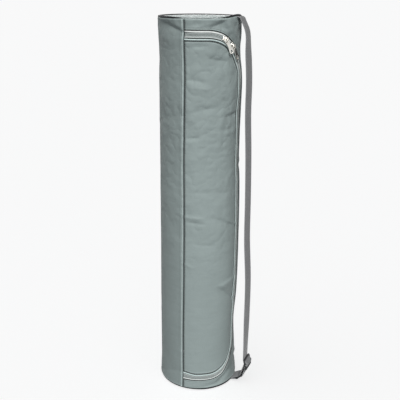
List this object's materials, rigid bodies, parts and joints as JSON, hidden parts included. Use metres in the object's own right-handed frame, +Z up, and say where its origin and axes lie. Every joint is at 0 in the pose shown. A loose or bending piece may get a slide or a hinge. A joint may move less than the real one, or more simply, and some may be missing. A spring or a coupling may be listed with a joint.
{
  "type": "yoga mat bag",
  "caption": "Tall round cloth bag for a rolled mat, with a D-shaped zipped door along its front and a webbing shoulder strap down its side.",
  "frame": {"origin": "middle of the base, on the surface that the bag stands on", "axes": "+Z up the bag; +X to the side where the carrying strap runs; -Y to the lapped seam at the left of the door"},
  "size_m": [0.1846, 0.151, 0.7],
  "materials": {
    "cloth": "satin",
    "zip_tape": "matte",
    "zip_coil": "satin",
    "zip_metal": "polished",
    "piping": "matte",
    "webbing": "matte",
    "black_plastic": "satin"
  },
  "bodies": {
    "bag": {"wall_panel": "cloth", "door_panel": "cloth", "door_hem": "cloth", "base_panel": "cloth", "top_panel": "cloth", "zip_tape_door": "zip_tape", "zip_tape_wall": "zip_tape", "zip_coil": "zip_coil", "zip_slider_upper": "zip_metal", "zip_slider_lower": "zip_metal", "base_piping": "piping", "top_piping": "piping", "strap_top": "webbing", "strap": "webbing", "strap_loop": "webbing", "strap_tab": "webbing", "strap_ring": "black_plastic", "strap_adjuster": "black_plastic"},
    "upper_pull": {"zip_pull_upper": "zip_metal"},
    "lower_pull": {"zip_pull_lower": "zip_metal"}
  },
  "joints": [
    {"name": "upper_pull_hinge", "type": "hinge", "parent": "bag", "child": "upper_pull", "pos_m": [0.06395, -0.04027, 0.6649], "axis": [-0.4512, -0.7344, -0.507], "range_deg": [0, 160]},
    {"name": "lower_pull_hinge", "type": "hinge", "parent": "bag", "child": "lower_pull", "pos_m": [0.07104, -0.02389, 0.65288], "axis": [-0.3076, -0.7727, -0.5553], "range_deg": [0, 160]}
  ]
}
